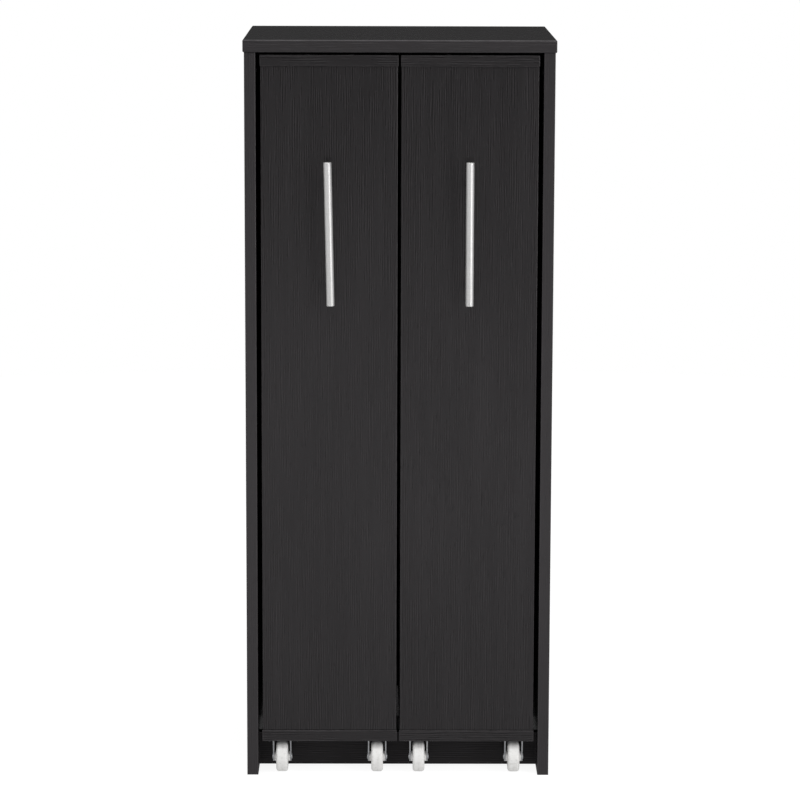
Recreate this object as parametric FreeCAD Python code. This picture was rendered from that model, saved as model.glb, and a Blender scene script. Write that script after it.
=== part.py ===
import FreeCAD, Part

import math
import os

# Tall shoe cabinet: a fixed carcass that holds two roll-out units side by side.
# Each unit is a narrow rack with a front, a back, a top, a bottom and shelves, open at both sides,
# and rolls straight out of the front on four fixed casters.
#
# Sizes are millimetres. Seen from the front, +X is to the right, +Y runs to the back and +Z is up.
# The origin is on the floor, midway across the width, and midway between the fronts of the handles
# and the back of the cabinet.

# Cabinet, outside
CABINET_WIDTH = 496.0
CABINET_DEPTH = 396.0
CABINET_HEIGHT = 1196.0

# Carcass boards
TOP_THICKNESS = 20.0
TOP_SIDE_OVERHANG = 2.2
TOP_FRONT_OVERHANG = 2.5
TOP_EDGE_RADIUS = 2.2
SIDE_THICKNESS = 18.0
RAIL_THICKNESS = 18.0
UPPER_RAIL_HEIGHT = 60.0
KICK_SETBACK = 66.0
BACK_THICKNESS = 4.0
BACK_REBATE = 9.0
BACK_EDGE_GAP = 0.5
BACK_FLOOR_GAP = 5.0
BOARD_EDGE_RADIUS = 1.0

# Room around the roll-out units
UNIT_SIDE_GAP = 6.5
UNIT_CENTRE_GAP = 3.8
UNIT_TOP_GAP = 4.0
UNIT_FLOOR_GAP = 2.0
UNIT_REAR_GAP = 6.5
UNIT_SETBACK = 3.0
STOP_GAP = 1.0

# Roll-out unit boards
UNIT_BOARD_THICKNESS = 18.0
UNIT_BACK_THICKNESS = 15.0
PANEL_SIDE_INSET = 1.0
PANEL_SETBACK = 2.5
SHELF_COUNT = 5
SHELF_THICKNESS = 15.0
SHELF_END_GAP = 0.5

# Shelf pins and the rods that keep shoes on the shelves
PIN_RADIUS = 2.5
PIN_DEPTH = 8.0
PIN_REACH = 8.0
PIN_INSET = 32.0
ROD_RADIUS = 3.0
ROD_SEAT = 6.0
ROD_INSET = 8.0
ROD_HEIGHT = 42.0

# Handles
BAR_DIAMETER = 12.7
BAR_LENGTH = 228.6
BAR_END_CHAMFER = 0.6
BAR_PROJECTION = 33.0
BAR_TOP_DROP = 167.4
POST_RADIUS = 5.0
POST_SPACING = 160.0
POST_SEAT = 2.5
BAR_LEAN_DEG = {"left": -1.2, "right": 0.0}
HANDLE_SCREW_RADIUS = 2.0
HANDLE_SCREW_REACH = 10.0
HANDLE_SCREW_HEAD_RADIUS = 4.0
HANDLE_SCREW_HEAD_HEIGHT = 2.4
HANDLE_SCREW_SINK = 3.0
HANDLE_SCREW_HEAD_ROOM = 0.5

# Casters
WHEEL_DIAMETER = 50.0
WHEEL_WIDTH = 19.0
WHEEL_SIDE_ROOM = 3.5
WHEEL_EDGE_RADIUS = 4.5
WHEEL_TOP_GAP = 4.0
WHEEL_HUB_RADIUS = 8.0
WHEEL_HUB_SIDE_GAP = 0.3
WHEEL_RIM_THICKNESS = 5.5
WHEEL_POCKET_DEPTH = 4.0
WHEEL_RIB_COUNT = 6
WHEEL_RIB_THICKNESS = 2.4
MOULD_LINE_WIDTH = 0.6
MOULD_LINE_DEPTH = 0.3
FORK_SHEET = 2.0
FORK_EYE_RADIUS = 8.0
FORK_SHOULDER_LENGTH = 24.0
FORK_WELD_RADIUS = 1.2
PLATE_WIDTH = 56.0
PLATE_LENGTH = 28.0
PLATE_CORNER_RADIUS = 4.0
PLATE_HOLE_SPACING_X = 43.0
PLATE_HOLE_SPACING_Y = 14.0
CASTER_SIDE_INSET = 32.0
FRONT_CASTER_INSET = 22.0
REAR_CASTER_INSET = 27.0
AXLE_RADIUS = 3.0
AXLE_HEAD_RADIUS = 4.5
AXLE_HEAD_HEIGHT = 1.4
AXLE_HEAD_ROUNDING = 0.9
CASTER_SCREW_RADIUS = 1.75
CASTER_SCREW_HEAD_RADIUS = 3.4
CASTER_SCREW_HEAD_HEIGHT = 1.6
CASTER_SCREW_LENGTH = 14.0

# Guides: pegs on top of each unit run in a channel let into the underside of the top board
CHANNEL_WIDTH = 12.0
CHANNEL_HEIGHT = 9.0
CHANNEL_WALL = 1.2
CHANNEL_END_ROOM = 8.0
PEG_SIDE_GAP = 0.3
PEG_ROOF_GAP = 2.3
PEG_FLANGE_RADIUS = 7.0
PEG_FLANGE_HEIGHT = 1.5
PEG_SPIGOT_RADIUS = 3.0
PEG_SPIGOT_LENGTH = 12.0
PEG_REAR_INSET = 20.0
PEG_FRONT_MARGIN = 20.0

# Fasteners
DOWEL_RADIUS = 4.0
DOWEL_FACE_DEPTH = 10.0
DOWEL_END_DEPTH = 20.0
CAM_RADIUS = 7.4
CAM_LENGTH = 12.4
CAM_OFFSET = 34.0
BOLT_RADIUS = 3.0
BOLT_FACE_DEPTH = 10.0
BOLT_ROOM = 0.5
TOP_CAM_INSET = 50.0
TOP_DOWEL_INSET = 90.0
RAIL_FASTENER_SPACING = 26.0
BACK_SCREW_RADIUS = 1.5
BACK_SCREW_HEAD_RADIUS = 3.2
BACK_SCREW_HEAD_HEIGHT = 1.7
BACK_SCREW_LENGTH = 15.0
BACK_SCREW_COUNT = 6
BACK_SCREW_END_INSET = 70.0
UNIT_SCREW_RADIUS = 3.4
UNIT_SCREW_HEAD_RADIUS = 5.0
UNIT_SCREW_HEAD_HEIGHT = 3.0
UNIT_SCREW_LENGTH = 50.0
UNIT_SCREW_SPACING = 70.0

# Recesses for the driver: crosses in the small screws and the cams, hexagons in the long screws
CROSS_WIDTH = 0.9
CROSS_MARGIN = 1.2
CROSS_DEPTH = 1.2
CAM_CROSS_WIDTH = 1.8
CAM_CROSS_MARGIN = 2.4
CAM_CROSS_DEPTH = 2.5
HEX_WIDTH = 4.0
HEX_SIDES = 6
HEX_DEPTH = 3.2

# Clearances
SEAT_FIT = 0.05
RUNNING_FIT = 0.06
HOLE_END_ROOM = 0.5

# How closely two places agree when edges are picked
EDGE_TOLERANCE = 1e-6

X = FreeCAD.Vector(1, 0, 0)
Y = FreeCAD.Vector(0, 1, 0)
Z = FreeCAD.Vector(0, 0, 1)

# Carcass places
SIDE_OUTER_WIDTH = CABINET_WIDTH - 2 * TOP_SIDE_OVERHANG
INNER_WIDTH = SIDE_OUTER_WIDTH - 2 * SIDE_THICKNESS
SIDE_DEPTH = CABINET_DEPTH - TOP_FRONT_OVERHANG
SIDE_HEIGHT = CABINET_HEIGHT - TOP_THICKNESS
HANDLE_OUTREACH = BAR_PROJECTION - UNIT_SETBACK - PANEL_SETBACK
FRONT_Y = (HANDLE_OUTREACH - SIDE_DEPTH) / 2
REAR_Y = FRONT_Y + SIDE_DEPTH
BACK_PANEL_Y = REAR_Y - BACK_THICKNESS
REAR_RAIL_Y = BACK_PANEL_Y - RAIL_THICKNESS
KICK_Y = FRONT_Y + KICK_SETBACK

# Unit places
UNIT_WIDTH = (INNER_WIDTH - 2 * UNIT_SIDE_GAP - UNIT_CENTRE_GAP) / 2
UNIT_CENTRE_X = (UNIT_CENTRE_GAP + UNIT_WIDTH) / 2
UNIT_FRONT_Y = FRONT_Y + UNIT_SETBACK
UNIT_REAR_Y = REAR_RAIL_Y - UNIT_REAR_GAP
UNIT_BASE_Z = WHEEL_DIAMETER + WHEEL_TOP_GAP + FORK_SHEET
UNIT_TOP_Z = SIDE_HEIGHT - UNIT_TOP_GAP
KICK_HEIGHT = UNIT_BASE_Z - UNIT_FLOOR_GAP
PANEL_WIDTH = UNIT_WIDTH - 2 * PANEL_SIDE_INSET
PANEL_FACE_Y = UNIT_FRONT_Y + PANEL_SETBACK
RACK_FRONT_Y = PANEL_FACE_Y + UNIT_BOARD_THICKNESS
RACK_REAR_Y = UNIT_REAR_Y - UNIT_BACK_THICKNESS
RACK_BASE_Z = UNIT_BASE_Z + UNIT_BOARD_THICKNESS
RACK_TOP_Z = UNIT_TOP_Z - UNIT_BOARD_THICKNESS
BAR_CENTRE_HEIGHT = UNIT_TOP_Z - BAR_TOP_DROP - BAR_LENGTH / 2
TIER_COUNT = SHELF_COUNT + 1
TIER_HEIGHT = (RACK_TOP_Z - RACK_BASE_Z - SHELF_COUNT * SHELF_THICKNESS) / TIER_COUNT

# Caster places and the travel that the rear wheels leave behind the kick board
WHEEL_RADIUS = WHEEL_DIAMETER / 2
FORK_OUTER_WIDTH = WHEEL_WIDTH + 2 * (WHEEL_SIDE_ROOM + FORK_SHEET)
FRONT_CASTER_Y = UNIT_FRONT_Y + FRONT_CASTER_INSET
REAR_CASTER_Y = UNIT_REAR_Y - REAR_CASTER_INSET
CASTER_OFFSET_X = UNIT_WIDTH / 2 - CASTER_SIDE_INSET
TRAVEL = REAR_CASTER_Y - WHEEL_RADIUS - STOP_GAP - (KICK_Y + RAIL_THICKNESS)

# Guide places
REAR_PEG_Y = UNIT_REAR_Y - PEG_REAR_INSET
FRONT_PEG_Y = FRONT_Y + PEG_FRONT_MARGIN + TRAVEL
CHANNEL_FRONT_Y = FRONT_PEG_Y - TRAVEL - CHANNEL_END_ROOM
CHANNEL_REAR_Y = REAR_PEG_Y + CHANNEL_END_ROOM


def box(x, y, z):
    """A box from its low and high values along each axis."""
    low = FreeCAD.Vector(x[0], y[0], z[0])
    return Part.makeBox(x[1] - x[0], y[1] - y[0], z[1] - z[0], low)


def centred(middle, size):
    """The low and high values of a span about its middle."""
    return (middle - size / 2, middle + size / 2)


def cylinder(radius, length, start, direction):
    return Part.makeCylinder(radius, length, start, direction)


def edges_in_plane(shape, axis, value):
    """The edges that lie wholly in one plane across an axis."""
    chosen = []
    for edge in shape.Edges:
        places = [vertex.Point.dot(axis) for vertex in edge.Vertexes]
        if all(math.isclose(place, value, abs_tol=EDGE_TOLERANCE) for place in places):
            chosen.append(edge)
    return chosen


def edges_along(shape, axis):
    """The straight edges that run along an axis."""
    chosen = []
    for edge in shape.Edges:
        run = edge.Vertexes[-1].Point - edge.Vertexes[0].Point
        if run.Length > 0 and math.isclose(abs(run.normalize().dot(axis)), 1, abs_tol=EDGE_TOLERANCE):
            chosen.append(edge)
    return chosen


def soften_front(board, radius):
    """Rounds the edges of a board's front face."""
    return board.makeFillet(radius, edges_in_plane(board, Y, board.BoundBox.YMin))


def group(solids):
    return Part.makeCompound(solids)


def screw(seat, direction, radius, length, head_radius, head_height, fit=0.0):
    """A countersunk screw whose flat head is flush at seat; with a fit, the hole that takes it."""
    room = HOLE_END_ROOM if fit else 0.0
    head = Part.makeCone(head_radius + fit, radius + fit, head_height, seat, direction)
    shank_start = seat + direction * head_height
    shank = cylinder(radius + fit, length - head_height + room, shank_start, direction)
    return head.fuse(shank).removeSplitter()


def placed(shape, seat, direction):
    """Turns a shape that stands on the origin along +Z to stand on a seat along a direction."""
    shape.Placement = FreeCAD.Placement(seat, FreeCAD.Rotation(Z, direction))
    return shape


def cross_recess(seat, direction, head_radius, width=CROSS_WIDTH, margin=CROSS_MARGIN, depth=CROSS_DEPTH):
    """The tool for a cross-shaped driver recess, from the face of a head inwards."""
    span = centred(0, 2 * (head_radius - margin))
    arm = centred(0, width)
    cross = box(span, arm, (0, depth)).fuse(box(arm, span, (0, depth)))
    return placed(cross, seat, direction)


def hex_recess(seat, direction):
    """The tool for a hexagonal driver recess, from the face of a head inwards."""
    corner_radius = HEX_WIDTH / math.sqrt(3)
    corners = []
    for index in range(HEX_SIDES + 1):
        angle = index * 2 * math.pi / HEX_SIDES
        corners.append(FreeCAD.Vector(corner_radius * math.cos(angle), corner_radius * math.sin(angle), 0))
    prism = Part.Face(Part.makePolygon(corners)).extrude(Z * HEX_DEPTH)
    return placed(prism, seat, direction)


def dowel(joint, inward):
    """A dowel across a joint, and its two holes as one tool; inward points into the end grain."""
    start = joint - inward * DOWEL_FACE_DEPTH
    length = DOWEL_FACE_DEPTH + DOWEL_END_DEPTH
    peg = cylinder(DOWEL_RADIUS, length, start, inward)
    tool_start = start - inward * HOLE_END_ROOM
    tool = cylinder(DOWEL_RADIUS + SEAT_FIT, length + 2 * HOLE_END_ROOM, tool_start, inward)
    return peg, tool


def cam_and_bolt(joint, inward, face, board_thickness):
    """A cam lock, its bolt and the holes for both.

    The bolt crosses the joint along inward, in the middle of the board that holds the cam. The cam
    goes into that board from the side that face points to.
    """
    cam_face = joint + inward * CAM_OFFSET + face * (board_thickness / 2)
    cam_body = cylinder(CAM_RADIUS, CAM_LENGTH, cam_face - face * CAM_LENGTH, face)
    bolt_start = joint - inward * BOLT_FACE_DEPTH
    bolt_length = BOLT_FACE_DEPTH + CAM_OFFSET
    bolt = cylinder(BOLT_RADIUS, bolt_length, bolt_start, inward)
    bolt_way = cylinder(BOLT_RADIUS + BOLT_ROOM, bolt_length - BOLT_FACE_DEPTH + BOLT_ROOM, joint, inward)
    slot = cross_recess(cam_face, -face, CAM_RADIUS, CAM_CROSS_WIDTH, CAM_CROSS_MARGIN, CAM_CROSS_DEPTH)
    cam = cam_body.cut([bolt_way, slot])
    bolt_seat = cylinder(
        BOLT_RADIUS + SEAT_FIT,
        BOLT_FACE_DEPTH + HOLE_END_ROOM,
        bolt_start - inward * HOLE_END_ROOM,
        inward,
    )
    cam_hole_depth = CAM_LENGTH + HOLE_END_ROOM
    cam_hole = cylinder(CAM_RADIUS + SEAT_FIT, cam_hole_depth, cam_face - face * cam_hole_depth, face)
    return [cam, bolt], [bolt_seat, bolt_way, cam_hole]


def carcass_boards():
    """The plain boards of the carcass, before their grooves and holes."""
    half_top = CABINET_WIDTH / 2
    top = box((-half_top, half_top), (FRONT_Y - TOP_FRONT_OVERHANG, REAR_Y), (SIDE_HEIGHT, CABINET_HEIGHT))
    boards = {"top_board": top.makeFillet(TOP_EDGE_RADIUS, top.Edges)}

    half_inner = INNER_WIDTH / 2
    half_outer = SIDE_OUTER_WIDTH / 2
    rebate = box(
        (-half_inner - BACK_REBATE, half_inner + BACK_REBATE),
        (BACK_PANEL_Y, REAR_Y),
        (0, SIDE_HEIGHT),
    )
    for side, x in (("left", (-half_outer, -half_inner)), ("right", (half_inner, half_outer))):
        panel = soften_front(box(x, (FRONT_Y, REAR_Y), (0, SIDE_HEIGHT)), BOARD_EDGE_RADIUS)
        boards[side + "_side_panel"] = panel.cut(rebate)

    half_back = half_inner + BACK_REBATE - BACK_EDGE_GAP
    boards["back_panel"] = box(
        (-half_back, half_back),
        (BACK_PANEL_Y, REAR_Y),
        (BACK_FLOOR_GAP, SIDE_HEIGHT - BACK_EDGE_GAP),
    )
    inner = (-half_inner, half_inner)
    boards["kick_board"] = box(inner, (KICK_Y, KICK_Y + RAIL_THICKNESS), (0, KICK_HEIGHT))
    rear_span = (REAR_RAIL_Y, BACK_PANEL_Y)
    boards["lower_rear_rail"] = box(inner, rear_span, (0, KICK_HEIGHT))
    boards["upper_rear_rail"] = box(inner, rear_span, (SIDE_HEIGHT - UPPER_RAIL_HEIGHT, SIDE_HEIGHT))
    return boards


def carcass_joints():
    """Dowels and cam locks that hold the carcass together, and their holes."""
    dowels, cams, tools = [], [], []

    def join(dowel_point, cam_point, inward, face, thickness):
        peg, peg_tool = dowel(dowel_point, inward)
        fitting, fitting_tools = cam_and_bolt(cam_point, inward, face, thickness)
        dowels.append(peg)
        cams.extend(fitting)
        tools.append(peg_tool)
        tools.extend(fitting_tools)

    for sign in (-1, 1):
        board_middle_x = sign * (INNER_WIDTH + SIDE_THICKNESS) / 2
        ends = ((FRONT_Y, 1), (REAR_Y, -1))
        for end_y, into in ends:
            dowel_point = FreeCAD.Vector(board_middle_x, end_y + into * TOP_DOWEL_INSET, SIDE_HEIGHT)
            cam_point = FreeCAD.Vector(board_middle_x, end_y + into * TOP_CAM_INSET, SIDE_HEIGHT)
            join(dowel_point, cam_point, -Z, X * -sign, SIDE_THICKNESS)

        rear_rail_middle_y = (REAR_RAIL_Y + BACK_PANEL_Y) / 2
        upper_rail_middle_z = SIDE_HEIGHT - UPPER_RAIL_HEIGHT / 2
        rails = (
            (KICK_Y + RAIL_THICKNESS / 2, KICK_HEIGHT / 2, Y),
            (rear_rail_middle_y, KICK_HEIGHT / 2, -Y),
            (rear_rail_middle_y, upper_rail_middle_z, -Y),
        )
        for middle_y, middle_z, face in rails:
            joint_x = sign * INNER_WIDTH / 2
            low, high = centred(middle_z, RAIL_FASTENER_SPACING)
            dowel_point = FreeCAD.Vector(joint_x, middle_y, high)
            cam_point = FreeCAD.Vector(joint_x, middle_y, low)
            join(dowel_point, cam_point, X * -sign, face, RAIL_THICKNESS)
    return dowels, cams, tools


def back_screw_places():
    """Where the back panel is screwed to the side panels and the two rear rails."""
    places = []
    side_x = (INNER_WIDTH + BACK_REBATE) / 2
    low_z = BACK_SCREW_END_INSET
    step = (SIDE_HEIGHT - 2 * BACK_SCREW_END_INSET) / (BACK_SCREW_COUNT - 1)
    for index in range(BACK_SCREW_COUNT):
        for sign in (-1, 1):
            places.append((sign * side_x, low_z + index * step))
    rail_screw_x = INNER_WIDTH / 4
    for rail_z in (KICK_HEIGHT / 2, SIDE_HEIGHT - UPPER_RAIL_HEIGHT / 2):
        for sign in (-1, 1):
            places.append((sign * rail_screw_x, rail_z))
    return places


def guide_channel(centre_x):
    """A channel that is open downwards, and the groove it lies in."""
    length = (CHANNEL_FRONT_Y, CHANNEL_REAR_Y)
    height = (SIDE_HEIGHT, SIDE_HEIGHT + CHANNEL_HEIGHT)
    outer = box(centred(centre_x, CHANNEL_WIDTH), length, height)
    inner_width = CHANNEL_WIDTH - 2 * CHANNEL_WALL
    inner = box(
        centred(centre_x, inner_width),
        length,
        (SIDE_HEIGHT, SIDE_HEIGHT + CHANNEL_HEIGHT - CHANNEL_WALL),
    )
    groove = box(
        centred(centre_x, CHANNEL_WIDTH + 2 * SEAT_FIT),
        (CHANNEL_FRONT_Y - SEAT_FIT, CHANNEL_REAR_Y + SEAT_FIT),
        height,
    )
    return outer.cut(inner), groove


def carcass():
    """Every piece of the fixed carcass."""
    parts = {}
    dowels, cams, tools = carcass_joints()
    parts["carcass_dowels"] = group(dowels)
    parts["carcass_cam_locks"] = group(cams)

    size = (BACK_SCREW_RADIUS, BACK_SCREW_LENGTH, BACK_SCREW_HEAD_RADIUS, BACK_SCREW_HEAD_HEIGHT)
    screws = []
    for x, z in back_screw_places():
        seat = FreeCAD.Vector(x, REAR_Y, z)
        screws.append(screw(seat, -Y, *size).cut(cross_recess(seat, -Y, BACK_SCREW_HEAD_RADIUS)))
        tools.append(screw(seat, -Y, *size, fit=SEAT_FIT))
    parts["back_panel_screws"] = group(screws)

    for side, sign in (("left", -1), ("right", 1)):
        channel, groove = guide_channel(sign * UNIT_CENTRE_X)
        parts[side + "_guide_channel"] = channel
        tools.append(groove)

    for name, board in carcass_boards().items():
        parts[name] = board.cut(tools)
    return parts


def unit_boards(centre_x):
    """The plain boards of one roll-out unit, before their holes."""
    depth = (UNIT_FRONT_Y, UNIT_REAR_Y)
    full = centred(centre_x, UNIT_WIDTH)
    narrow = centred(centre_x, PANEL_WIDTH)
    upright = (RACK_BASE_Z, RACK_TOP_Z)
    boards = {
        "unit_top": soften_front(box(full, depth, (RACK_TOP_Z, UNIT_TOP_Z)), BOARD_EDGE_RADIUS),
        "unit_bottom": soften_front(box(full, depth, (UNIT_BASE_Z, RACK_BASE_Z)), BOARD_EDGE_RADIUS),
        "front_panel": soften_front(box(narrow, (PANEL_FACE_Y, RACK_FRONT_Y), upright), BOARD_EDGE_RADIUS),
        "unit_back": box(narrow, (RACK_REAR_Y, UNIT_REAR_Y), upright),
    }
    for index in range(SHELF_COUNT):
        base = shelf_base(index)
        boards["shelf_%d" % (index + 1)] = box(
            narrow,
            (RACK_FRONT_Y + SHELF_END_GAP, RACK_REAR_Y - SHELF_END_GAP),
            (base, base + SHELF_THICKNESS),
        )
    return boards


def shelf_base(index):
    """The underside of a shelf, counted from the lowest."""
    return RACK_BASE_Z + (index + 1) * TIER_HEIGHT + index * SHELF_THICKNESS


def tier_floor(index):
    """The surface that the shoes of a tier stand on, counted from the bottom."""
    return RACK_BASE_Z + index * (TIER_HEIGHT + SHELF_THICKNESS)


def shelf_pins(centre_x):
    """Four pins under each shelf, two in the front panel and two in the unit's back."""
    pins, tools = [], []
    length = PIN_DEPTH + PIN_REACH
    for index in range(SHELF_COUNT):
        axis_z = shelf_base(index) - PIN_RADIUS - SEAT_FIT
        for x in centred(centre_x, PANEL_WIDTH - 2 * PIN_INSET):
            for wall_y, inward in ((RACK_FRONT_Y, Y), (RACK_REAR_Y, -Y)):
                root = FreeCAD.Vector(x, wall_y, axis_z) - inward * PIN_DEPTH
                pins.append(cylinder(PIN_RADIUS, length, root, inward))
                bottom = root - inward * HOLE_END_ROOM
                tools.append(cylinder(PIN_RADIUS + SEAT_FIT, length, bottom, inward))
    return pins, tools


def retaining_rods(centre_x):
    """A rod along each open side of every tier, seated in the front panel and the unit's back."""
    rods, tools = [], []
    clear = RACK_REAR_Y - RACK_FRONT_Y
    for index in range(TIER_COUNT):
        axis_z = tier_floor(index) + ROD_HEIGHT
        for x in centred(centre_x, PANEL_WIDTH - 2 * ROD_INSET):
            start = FreeCAD.Vector(x, RACK_FRONT_Y - ROD_SEAT, axis_z)
            rods.append(cylinder(ROD_RADIUS, clear + 2 * ROD_SEAT, start, Y))
            tool_start = start - Y * HOLE_END_ROOM
            tool_length = clear + 2 * ROD_SEAT + 2 * HOLE_END_ROOM
            tools.append(cylinder(ROD_RADIUS + SEAT_FIT, tool_length, tool_start, Y))
    return rods, tools


def unit_screws(centre_x):
    """Long screws through the unit's top and bottom into the ends of its front and back."""
    size = (UNIT_SCREW_RADIUS, UNIT_SCREW_LENGTH, UNIT_SCREW_HEAD_RADIUS, UNIT_SCREW_HEAD_HEIGHT)
    screws, tools = [], []
    front_middle = (PANEL_FACE_Y + RACK_FRONT_Y) / 2
    back_middle = (RACK_REAR_Y + UNIT_REAR_Y) / 2
    for x in centred(centre_x, UNIT_SCREW_SPACING):
        for y in (front_middle, back_middle):
            for z, direction in ((UNIT_TOP_Z, -Z), (UNIT_BASE_Z, Z)):
                seat = FreeCAD.Vector(x, y, z)
                screws.append(screw(seat, direction, *size).cut(hex_recess(seat, direction)))
                tools.append(screw(seat, direction, *size, fit=SEAT_FIT))
    return screws, tools


def guide_pegs(centre_x):
    """Two nylon pegs on the unit's top that run in the guide channel."""
    peg_radius = CHANNEL_WIDTH / 2 - CHANNEL_WALL - PEG_SIDE_GAP
    channel_roof = SIDE_HEIGHT + CHANNEL_HEIGHT - CHANNEL_WALL
    pegs, tools = [], []
    for y in (FRONT_PEG_Y, REAR_PEG_Y):
        seat = FreeCAD.Vector(centre_x, y, UNIT_TOP_Z)
        flange = cylinder(PEG_FLANGE_RADIUS, PEG_FLANGE_HEIGHT, seat, Z)
        runner = cylinder(peg_radius, channel_roof - PEG_ROOF_GAP - UNIT_TOP_Z, seat, Z)
        spigot = cylinder(PEG_SPIGOT_RADIUS, PEG_SPIGOT_LENGTH, seat, -Z)
        pegs.append(flange.multiFuse([runner, spigot]).removeSplitter())
        hole_length = PEG_SPIGOT_LENGTH + HOLE_END_ROOM
        tools.append(cylinder(PEG_SPIGOT_RADIUS + SEAT_FIT, hole_length, seat, -Z))
    return pegs, tools


def handle(side, centre_x):
    """A round bar on two posts, with the screws that hold it and the holes in the front panel."""
    axis_y = PANEL_FACE_Y - BAR_PROJECTION + BAR_DIAMETER / 2
    middle = FreeCAD.Vector(centre_x, axis_y, BAR_CENTRE_HEIGHT)
    bar = cylinder(BAR_DIAMETER / 2, BAR_LENGTH, middle - Z * (BAR_LENGTH / 2), Z)
    bar = bar.makeChamfer(BAR_END_CHAMFER, [edge for edge in bar.Edges if edge.isClosed()])

    post_front_y = axis_y + BAR_DIAMETER / 2 - POST_SEAT
    post_length = PANEL_FACE_Y - post_front_y
    screw_tip_y = PANEL_FACE_Y - HANDLE_SCREW_REACH
    head_y = RACK_FRONT_Y - HANDLE_SCREW_SINK
    screw_length = head_y - screw_tip_y
    posts, screws, holes = [], [], []
    for z in centred(BAR_CENTRE_HEIGHT, POST_SPACING):
        post_start = FreeCAD.Vector(centre_x, post_front_y, z)
        bar = bar.cut(cylinder(POST_RADIUS + SEAT_FIT, post_length, post_start, Y))
        screw_tip = FreeCAD.Vector(centre_x, screw_tip_y, z)
        bore_start = screw_tip - Y * HOLE_END_ROOM
        bore = cylinder(HANDLE_SCREW_RADIUS + SEAT_FIT, screw_length + HOLE_END_ROOM, bore_start, Y)
        posts.append(cylinder(POST_RADIUS, post_length, post_start, Y).cut(bore))
        head_start = FreeCAD.Vector(centre_x, head_y, z)
        head_radius = HANDLE_SCREW_HEAD_RADIUS
        counterbore = cylinder(head_radius + HANDLE_SCREW_HEAD_ROOM, HANDLE_SCREW_SINK, head_start, Y)
        holes.extend([bore, counterbore])
        shank = cylinder(HANDLE_SCREW_RADIUS, screw_length, screw_tip, Y)
        head = cylinder(head_radius, HANDLE_SCREW_HEAD_HEIGHT, head_start, Y)
        recess = cross_recess(head_start + Y * HANDLE_SCREW_HEAD_HEIGHT, -Y, head_radius)
        screws.append(shank.fuse(head).removeSplitter().cut(recess))

    for shape in [bar] + posts + screws + holes:
        shape.rotate(middle, Y, BAR_LEAN_DEG[side])
    return bar, posts, screws, holes


def caster_fork(centre_x, centre_y):
    """A screw-on plate with two legs, rounded at the axle."""
    plate_base_z = UNIT_BASE_Z - FORK_SHEET
    plate = box(
        centred(centre_x, PLATE_WIDTH), centred(centre_y, PLATE_LENGTH), (plate_base_z, UNIT_BASE_Z)
    )
    plate = plate.makeFillet(PLATE_CORNER_RADIUS, edges_along(plate, Z))
    legs = []
    for sign in (-1, 1):
        outer_x = centre_x + sign * FORK_OUTER_WIDTH / 2
        start_x = min(outer_x, outer_x - sign * FORK_SHEET)
        corners = [
            FreeCAD.Vector(start_x, centre_y - FORK_SHOULDER_LENGTH / 2, plate_base_z),
            FreeCAD.Vector(start_x, centre_y + FORK_SHOULDER_LENGTH / 2, plate_base_z),
            FreeCAD.Vector(start_x, centre_y + FORK_EYE_RADIUS, WHEEL_RADIUS),
            FreeCAD.Vector(start_x, centre_y - FORK_EYE_RADIUS, WHEEL_RADIUS),
        ]
        outline = Part.Face(Part.makePolygon(corners + corners[:1]))
        legs.append(outline.extrude(X * FORK_SHEET))
        eye_centre = FreeCAD.Vector(start_x, centre_y, WHEEL_RADIUS)
        legs.append(cylinder(FORK_EYE_RADIUS, FORK_SHEET, eye_centre, X))
    fork = plate.multiFuse(legs).removeSplitter()
    seams = []
    for edge in edges_in_plane(fork, Z, plate_base_z):
        if math.isclose(edge.Length, FORK_SHOULDER_LENGTH, abs_tol=EDGE_TOLERANCE):
            seams.append(edge)
    return fork.makeFillet(FORK_WELD_RADIUS, seams)


def caster_axle(centre_x, centre_y):
    """A riveted axle with a rounded head outside each leg of the fork."""
    start = FreeCAD.Vector(centre_x - FORK_OUTER_WIDTH / 2, centre_y, WHEEL_RADIUS)
    shaft = cylinder(AXLE_RADIUS, FORK_OUTER_WIDTH, start, X)
    heads = []
    for point, outward in ((start, -X), (start + X * FORK_OUTER_WIDTH, X)):
        head = cylinder(AXLE_HEAD_RADIUS, AXLE_HEAD_HEIGHT, point, outward)
        rim = edges_in_plane(head, X, (point + outward * AXLE_HEAD_HEIGHT).x)
        heads.append(head.makeFillet(AXLE_HEAD_ROUNDING, rim))
    return shaft.multiFuse(heads).removeSplitter()


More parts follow.
